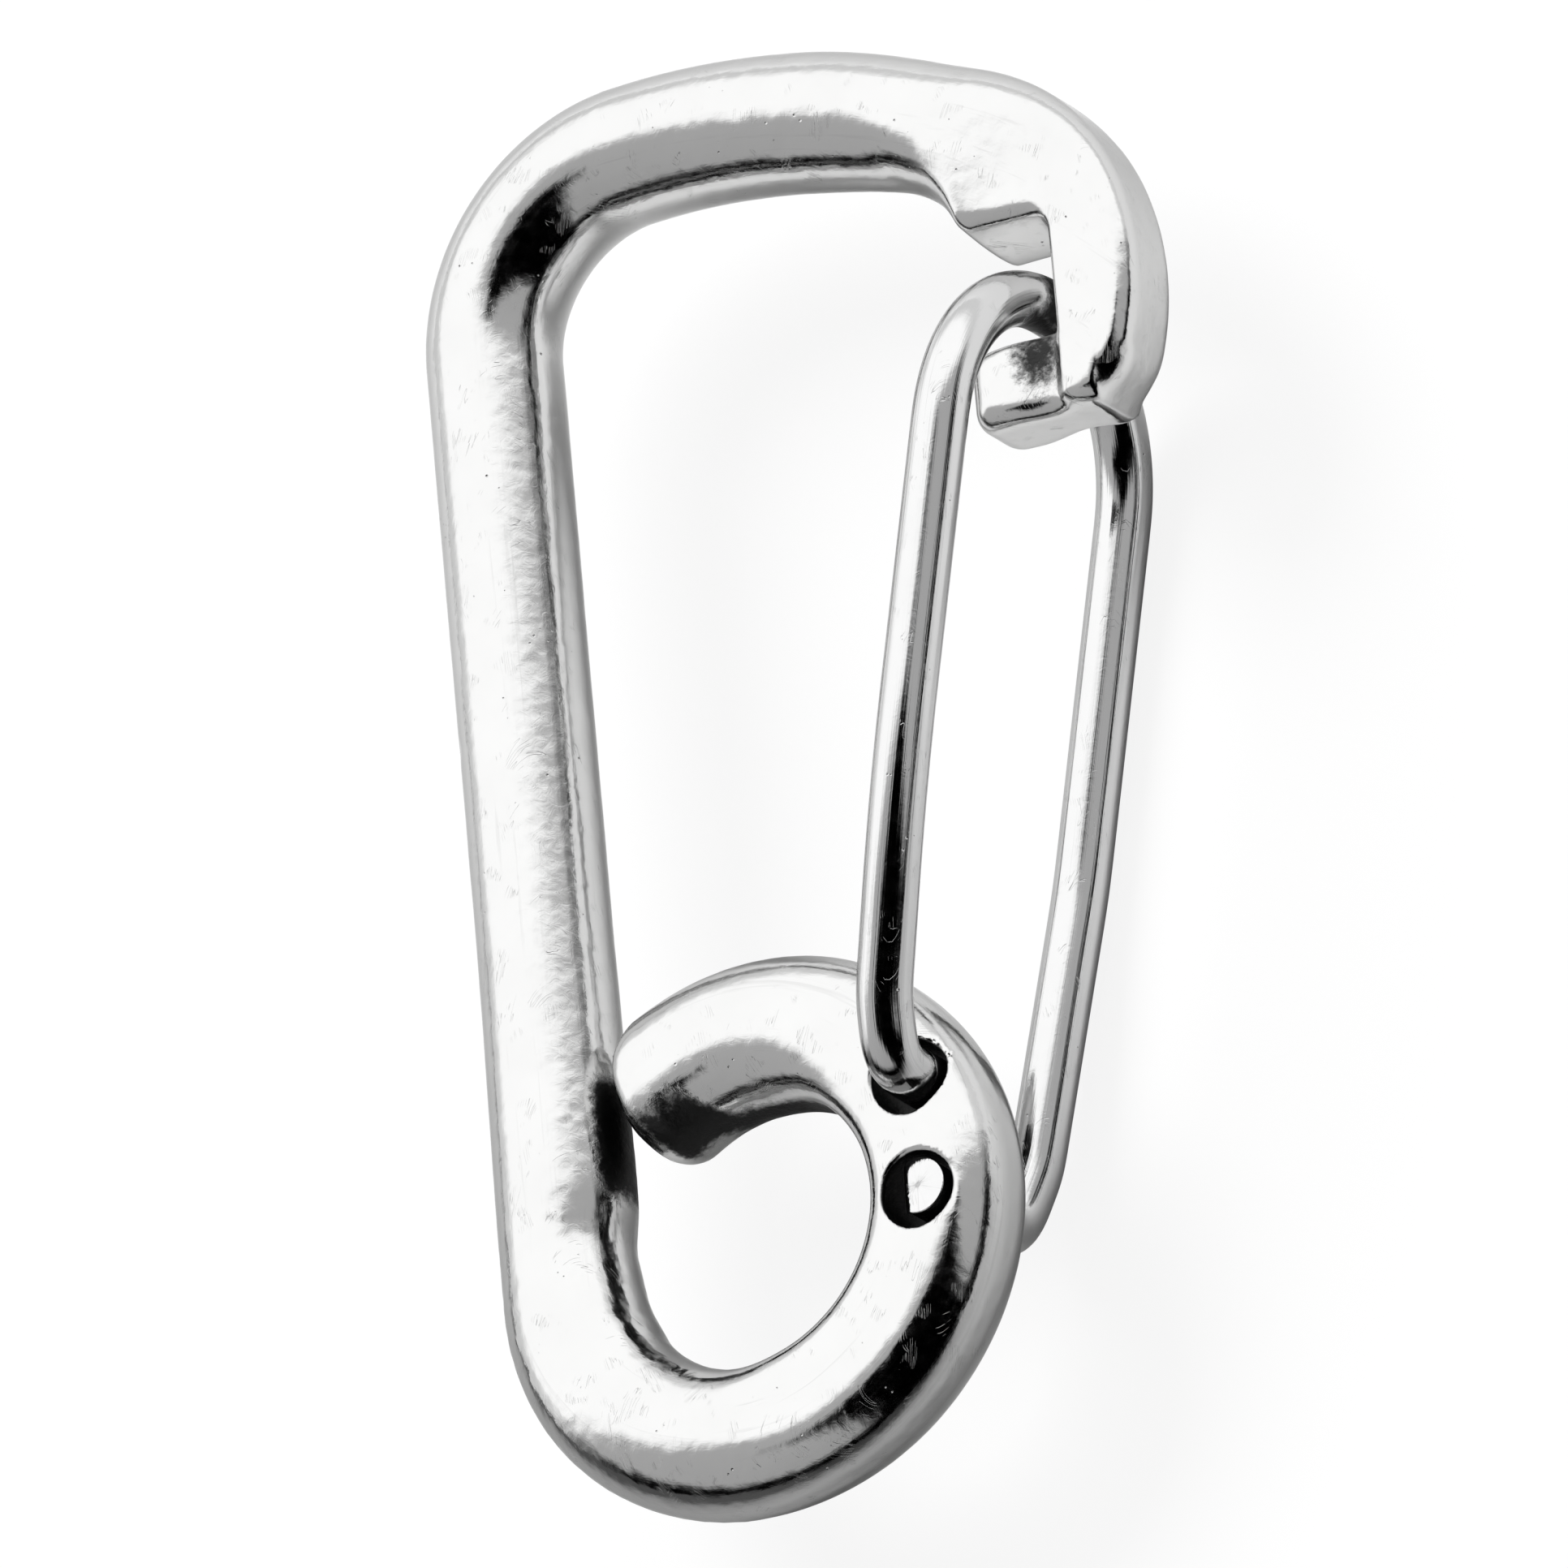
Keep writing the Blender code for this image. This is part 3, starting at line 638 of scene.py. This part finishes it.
class Nodes:
    """Short words for building a material's node tree."""

    def __init__(self, tree):
        self.tree = tree

    def add(self, kind, **settings):
        node = self.tree.nodes.new(kind)
        inputs = settings.pop("inputs", {})
        for name, value in settings.items():
            setattr(node, name, value)
        for name, value in inputs.items():
            if isinstance(value, bpy.types.NodeSocket):
                self.tree.links.new(value, node.inputs[name])
            else:
                node.inputs[name].default_value = value
        return node

    def math(self, operation, first, second=0.0):
        return self.add("ShaderNodeMath", operation=operation, inputs={0: first, 1: second}).outputs[0]

    def total(self, first, *others):
        for other in others:
            first = self.math("ADD", first, other)
        return first

    def dot(self, vector, direction):
        node = self.add("ShaderNodeVectorMath", operation="DOT_PRODUCT", inputs={0: vector, 1: direction})
        return node.outputs["Value"]

    def mix(self, share, first, second):
        node = self.add("ShaderNodeMix", data_type="FLOAT", inputs={0: share, 2: first, 3: second})
        return node.outputs[0]

    def mix_colour(self, share, first, second):
        node = self.add("ShaderNodeMix", data_type="RGBA", inputs={0: share, 6: first, 7: second})
        return node.outputs[2]

    def noise(self, vector, scale, detail=3.0, roughness=0.55, distortion=0.0):
        node = self.add("ShaderNodeTexNoise", inputs={"Vector": vector, "Scale": scale, "Detail": detail,
                                                      "Roughness": roughness, "Distortion": distortion})
        return node.outputs["Fac"]

    def scaled(self, vector, x, y, z):
        node = self.add("ShaderNodeVectorMath", operation="MULTIPLY", inputs={0: vector, 1: (x, y, z)})
        return node.outputs[0]

    def between(self, value, low, high, to_low=0.0, to_high=1.0, smooth=True):
        node = self.add("ShaderNodeMapRange", interpolation_type="SMOOTHSTEP" if smooth else "LINEAR",
                        inputs={"Value": value, "From Min": low, "From Max": high,
                                "To Min": to_low, "To Max": to_high})
        return node.outputs["Result"]


# ---- steel: colours, noise scales per mm across and along the bar, heights in mm ----
# the second colour is the dark one: for pits, scratches and streaks, and for the painted shade under the
# curl, at the lip's root and in the drilled holes
STEEL_TINT, WEAR_AND_PAINTED_SHADE_COLOUR, DARKER = (0.62, 0.62, 0.62, 1.0), (0.035, 0.035, 0.035, 1.0), 0.93
# each finish says whether shade is painted inside the drilled holes
BAR = {
    "draw": (1.6, 0.06), "fine_draw": (7.0, 0.12), "streak": 0.10, "bore_shade": True,
    "heights": {"peel": 0.009, "swell": 0.035, "draw": 0.008, "fine_draw": 0.002},
}
WIRE = {
    "draw": (3.0, 0.022), "fine_draw": (12.0, 0.03), "streak": 0.30, "bore_shade": False,
    "heights": {"peel": 0.006, "swell": 0.004, "draw": 0.026, "fine_draw": 0.006},
}
PIT_DARK, PIT_ROUGH, PIT_DEPTH = 0.55, 0.25, 0.05
LINE_DARK, LINE_DEPTH = 0.22, 0.008
# roughness and bump where shade is painted
PAINTED_SHADE_ROUGH, PAINTED_SHADE_HEIGHT = 0.30, 0.05
BORE_FACE = (3.82, 3.96)  # mm from the middle of the hook, where the painted shade in the bore stops
BORE_RIM = (HOLE_RADIUS + 0.04, HOLE_RADIUS + 0.18)


def scratches(n, vector, angle, density, seed):
    """Fine lines running one way, broken up so that each is short. 1 on a line."""
    turned = n.add("ShaderNodeVectorRotate", rotation_type="EULER_XYZ",
                   inputs={"Vector": vector, "Rotation": angle}).outputs[0]
    moved = n.add("ShaderNodeVectorMath", operation="ADD",
                  inputs={0: turned, 1: (seed, seed * 0.7, seed * 1.3)}).outputs[0]
    fine = n.noise(n.scaled(moved, 9.0, 0.35, 0.35), 1.0, 1.0, 0.4)
    line = n.between(n.math("ABSOLUTE", n.math("SUBTRACT", fine, 0.5)), 0.0, 0.010, 1.0, 0.0)
    patch = n.noise(n.scaled(moved, 0.5, 0.5, 0.5), 1.0, 2.0, 0.5)
    return n.math("MULTIPLY", line, n.between(patch, density, density + 0.06))


def bore_painted_shade(n, place):
    """Painted shade inside the two drilled holes: 1 within them, 0 on the faces around them."""
    mask = 0.0
    height = n.add("ShaderNodeSeparateXYZ", inputs={0: place}).outputs["Z"]
    deep = n.between(n.math("ABSOLUTE", n.math("SUBTRACT", height, EYE[2])), *BORE_FACE, 1.0, 0.0)
    for hole in (UPPER_HOLE, LOWER_HOLE):
        centre = (hole[0] + EYE[0], hole[1] + EYE[1], 0.0)
        offset = n.add("ShaderNodeVectorMath", operation="SUBTRACT", inputs={0: place, 1: centre}).outputs[0]
        flat = n.add("ShaderNodeVectorMath", operation="LENGTH", inputs={0: n.scaled(offset, 1.0, 1.0, 0.0)})
        ring = n.between(flat.outputs["Value"], *BORE_RIM, 1.0, 0.0)
        mask = n.math("MAXIMUM", mask, n.math("MULTIPLY", ring, deep))
    return mask


def steel(name, base, rough, finish):
    """Polished steel: drawn grain, swell, orange peel, pits, fine scratches, and painted shade, a dark colour
    where the mesh's scale attribute says shade falls and inside the drilled holes.
    """
    material = bpy.data.materials.new(name)
    material.use_nodes = True
    tree = material.node_tree
    n = Nodes(tree)
    shader = tree.nodes["Principled BSDF"]
    shader.inputs["Metallic"].default_value = 1.0
    shader.inputs["Specular Tint"].default_value = STEEL_TINT
    place = n.scaled(n.add("ShaderNodeTexCoord").outputs["Object"], PER_M, PER_M, PER_M)
    grain = n.add("ShaderNodeAttribute", attribute_name="grain").outputs["Vector"]
    broad = n.noise(place, 0.22, 3.0, 0.5)
    blotch = n.noise(place, 1.1, 3.0, 0.6)
    peel = n.noise(place, 1.3, 3.0, 0.55, 1.6)
    swell = n.noise(place, 0.75, 1.0, 0.5)
    across, along = finish["draw"]
    draw = n.noise(n.scaled(grain, across, across, along), 1.0, 3.0, 0.6)
    across, along = finish["fine_draw"]
    fine_draw = n.noise(n.scaled(grain, across, across, along), 1.0, 2.0, 0.6)

    cells = n.add("ShaderNodeTexVoronoi", feature="F1",
                  inputs={"Vector": place, "Scale": 1.5, "Randomness": 1.0})
    pit_size = n.between(n.noise(place, 0.55, 2.0, 0.5), 0.50, 0.68, 0.02, 0.20)
    pit = n.between(cells.outputs["Distance"], 0.0, pit_size, 1.0, 0.0)
    pit = n.math("MULTIPLY", pit, n.between(n.noise(place, 0.4, 2.0, 0.5), 0.50, 0.60))
    lines = n.math("MAXIMUM", scratches(n, place, (0.3, 0.9, 0.5), 0.60, 3.0),
                   scratches(n, place, (1.1, -0.4, -0.8), 0.62, 17.0))

    # painted shade: the mesh's own mask, broken up at its edges, and inside the drilled holes where the
    # finish asks for it
    painted_shade_attribute = n.add("ShaderNodeAttribute", attribute_name="scale").outputs["Fac"]
    shade_edge_noise = n.math("SUBTRACT", n.noise(place, 1.6, 4.0, 0.7), 0.5)
    ragged_shade = n.math("ADD", painted_shade_attribute, n.math("MULTIPLY", shade_edge_noise, 0.7))
    scale = n.between(n.math("MULTIPLY", ragged_shade, n.between(painted_shade_attribute, 0.0, 0.12)), 0.30, 0.75)
    if finish["bore_shade"]:
        scale = n.math("MAXIMUM", scale, bore_painted_shade(n, place))

    # colour: a slight drift over the bar, darker in pits, lines and drawn streaks, and painted shade where
    # the shade mask is
    tint = n.mix_colour(broad, (*[channel * DARKER for channel in base], 1.0), (*base, 1.0))
    dark = n.math("MAXIMUM", n.math("MULTIPLY", pit, PIT_DARK), n.math("MULTIPLY", lines, LINE_DARK))
    dark = n.math("MAXIMUM", dark, n.between(draw, 0.60, 0.74, 0.0, finish["streak"]))
    dark = n.math("MAXIMUM", dark, scale)
    tree.links.new(n.mix_colour(dark, tint, WEAR_AND_PAINTED_SHADE_COLOUR), shader.inputs["Base Color"])

    gloss = n.total(n.between(blotch, 0.35, 0.70, rough * 0.75, rough * 1.35),
                    n.math("MULTIPLY", pit, PIT_ROUGH),
                    n.between(fine_draw, 0.5, 0.8, 0.0, 0.06),
                    n.math("MULTIPLY", scale, PAINTED_SHADE_ROUGH))
    tree.links.new(gloss, shader.inputs["Roughness"])

    heights = finish["heights"]
    shade_mask_bump = n.math("MULTIPLY", scale, n.noise(place, 3.2, 3.0, 0.6))
    height = n.total(n.math("MULTIPLY", peel, heights["peel"]),
                     n.math("MULTIPLY", swell, heights["swell"]),
                     n.math("MULTIPLY", draw, heights["draw"]),
                     n.math("MULTIPLY", fine_draw, heights["fine_draw"]),
                     n.math("MULTIPLY", pit, -PIT_DEPTH),
                     n.math("MULTIPLY", lines, -LINE_DEPTH),
                     n.math("MULTIPLY", shade_mask_bump, PAINTED_SHADE_HEIGHT))
    bump = n.add("ShaderNodeBump", inputs={"Strength": 1.0, "Distance": MM, "Height": height})
    tree.links.new(bump.outputs[0], shader.inputs["Normal"])
    return material


# ---- the hook ----
body = build_body()
body.data.materials.append(steel("polished_bar", (0.62, 0.62, 0.617), 0.11, BAR))
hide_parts("hook_body")
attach(body, "hook")

wire = build_wire()
wire.data.materials.append(steel("spring_wire", (0.62, 0.62, 0.62), 0.10, WIRE))
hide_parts("wire_gate")
wire.visible_glossy = False  # the photo's hook shows no sharp mirror image of its gate
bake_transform(wire)

# ---- studio: directions in the floor's plane, then the sky's brightness by its cosine to the near side ----
NEAR_SIDE = (0.259, -0.966, 0.0)
PANEL_AHEAD, PANEL_ASIDE = (0.643, -0.766, 0.0), (0.766, 0.643, 0.0)
NEAR_LEFT = (-0.5, -0.866, 0.0)
STUDIO_LEVEL = 1.6
STUDIO_RAMP = (
    (-1.0, 1.0), (-0.32, 1.0), (-0.24, 0.86), (-0.19, 0.62),
    (-0.15, 0.44), (-0.08, 0.37), (0.4, 0.35), (1.0, 0.30),
)
PANEL_EDGE, PANEL_FADE = (0.38, 0.54), (-0.04, 0.10)  # the dark panel: half width, and its start
HORIZON_TOP, HORIZON_SIDES, HORIZON_DARK = (0.12, 0.34), (-0.28, 0.15), (0.38, 1.0)
WHITE = (1.0, 1.0, 1.0, 1.0)

# ---- floor: metres from the middle, and how bright the steel sees it ----
FLOOR, FLOOR_DROP = 1.2, 0.00002
PAPER, PAPER_SEEN, PAPER_GLOW = 0.75, 0.10, 0.87
# painted shadow on the floor, for the steel's reflections only: darker toward the near left and ahead,
# standing in for the hook's shadow there
LEFT_FADE, LEFT_DIM = (0.0, 0.12), 0.10
AHEAD_FADE, AHEAD_DIM, AHEAD_NARROWING = (0.0, 0.08), 0.62, 0.5

floor_mesh = bpy.data.meshes.new("floor")
floor_corners = [(-FLOOR, -FLOOR, 0), (FLOOR, -FLOOR, 0), (FLOOR, FLOOR, 0), (-FLOOR, FLOOR, 0)]
floor_mesh.from_pydata(floor_corners, [], [(0, 1, 2, 3)])
floor = bpy.data.objects.new("floor", floor_mesh)
bpy.context.scene.collection.objects.link(floor)
floor.location.z = -FLOOR_DROP


def paper():
    """Pale paper, whitened to the eye; in what the steel mirrors of it, shadow is painted that darkens it
    toward the camera's side.
    """
    material = bpy.data.materials.new("paper")
    material.use_nodes = True
    tree = material.node_tree
    n = Nodes(tree)
    shader = tree.nodes["Principled BSDF"]
    shader.inputs["Roughness"].default_value = 0.9
    shader.inputs["Specular IOR Level"].default_value = 0.0
    place = n.add("ShaderNodeTexCoord").outputs["Object"]
    aside = n.math("ABSOLUTE", n.dot(place, PANEL_ASIDE))
    ahead = n.math("SUBTRACT", n.dot(place, PANEL_AHEAD), n.math("MULTIPLY", aside, AHEAD_NARROWING))
    # painted shadow: the paper darkens toward the near left and ahead, for the steel's reflections only
    painted_floor_shadow = n.math("MULTIPLY", n.between(n.dot(place, NEAR_LEFT), *LEFT_FADE, 1.0, LEFT_DIM),
                  n.between(ahead, *AHEAD_FADE, 1.0, AHEAD_DIM))
    sight = n.add("ShaderNodeLightPath").outputs["Is Camera Ray"]
    tone = n.mix(sight, n.math("MULTIPLY", painted_floor_shadow, PAPER), PAPER_SEEN)
    colour = n.add("ShaderNodeCombineXYZ", inputs={0: tone, 1: tone, 2: tone})
    tree.links.new(colour.outputs[0], shader.inputs["Base Color"])
    shader.inputs["Emission Color"].default_value = WHITE
    tree.links.new(n.math("MULTIPLY", sight, PAPER_GLOW), shader.inputs["Emission Strength"])
    return material


floor_mesh.materials.append(paper())


def area_light(name, place, aim, size, watts):
    """A soft light that brightens the floor without standing in the steel's reflections."""
    data = bpy.data.lights.new(name, "AREA")
    data.shape, data.size, data.energy = "DISK", size, watts
    lamp = bpy.data.objects.new(name, data)
    bpy.context.scene.collection.objects.link(lamp)
    lamp.location = place
    lamp.rotation_mode = "QUATERNION"
    lamp.rotation_quaternion = (Vector(aim) - Vector(place)).to_track_quat("-Z", "Y")
    lamp.visible_glossy = False
    lamp.visible_camera = False


def studio():
    """Bright behind the hook, graded down on both sides, dark toward the camera and along its horizon."""
    world = bpy.data.worlds.new("studio")
    bpy.context.scene.world = world
    world.use_nodes = True
    tree = world.node_tree
    n = Nodes(tree)
    background = tree.nodes["Background"]
    direction = n.add("ShaderNodeTexCoord").outputs["Generated"]
    height = n.add("ShaderNodeSeparateXYZ", inputs={0: direction}).outputs["Z"]
    near = n.dot(direction, NEAR_SIDE)
    sky = n.add("ShaderNodeValToRGB", inputs={0: n.between(near, -1.0, 1.0, smooth=False)})
    elements = sky.color_ramp.elements
    while len(elements) < len(STUDIO_RAMP):
        elements.new(0.5)
    for element, (cosine, _) in zip(elements, STUDIO_RAMP):
        element.position = (cosine + 1.0) / 2.0
    for element, (_, value) in zip(elements, STUDIO_RAMP):
        element.color = (value, value, value, 1.0)
    aside = n.math("ABSOLUTE", n.dot(direction, PANEL_ASIDE))
    panel = n.math("MULTIPLY", n.between(aside, *PANEL_EDGE, 1.0, 0.0),
                   n.between(n.dot(direction, PANEL_AHEAD), *PANEL_FADE))
    horizon = n.math("MULTIPLY", n.between(height, *HORIZON_TOP, 1.0, 0.0),
                     n.between(near, *HORIZON_SIDES, *HORIZON_DARK))
    level = n.math("MULTIPLY", sky.outputs[0], n.math("SUBTRACT", 1.0, panel))
    level = n.math("MULTIPLY", level, n.math("SUBTRACT", 1.0, horizon))
    level = n.math("MULTIPLY", level, STUDIO_LEVEL)
    sight = n.add("ShaderNodeLightPath").outputs["Is Camera Ray"]
    tree.links.new(n.mix(sight, level, 1.0), background.inputs["Strength"])
    background.inputs["Color"].default_value = WHITE


studio()
area_light("key", place=(-0.7, 0.9, 1.2), aim=(0.0, 0.0, 0.0), size=1.0, watts=30.0)

# ---- camera ----
RIGHT = Vector((0.85315, -0.08238, -0.51510))
UP = Vector((0.26799, 0.91640, 0.29740))
BACK = RIGHT.cross(UP).normalized()
AIM = Vector((0.94, -4.81, 21.07)) * MM
PICTURE_WIDTH, CAMERA_FAR, SENSOR = 99.5 * MM, 3.0, 36.0
NEAR_CLIP, FAR_CLIP = 0.1, 20.0
camera_data = bpy.data.cameras.new("camera")
camera_data.sensor_width = SENSOR
camera_data.lens = SENSOR * CAMERA_FAR / PICTURE_WIDTH
camera_data.clip_start, camera_data.clip_end = NEAR_CLIP, FAR_CLIP
camera = bpy.data.objects.new("camera", camera_data)
bpy.context.scene.collection.objects.link(camera)
turned = Matrix((RIGHT, UP, BACK)).transposed().to_4x4()
camera.matrix_world = Matrix.Translation(AIM + BACK * CAMERA_FAR) @ turned
bpy.context.scene.camera = camera
bpy.context.scene.view_settings.view_transform = "Standard"
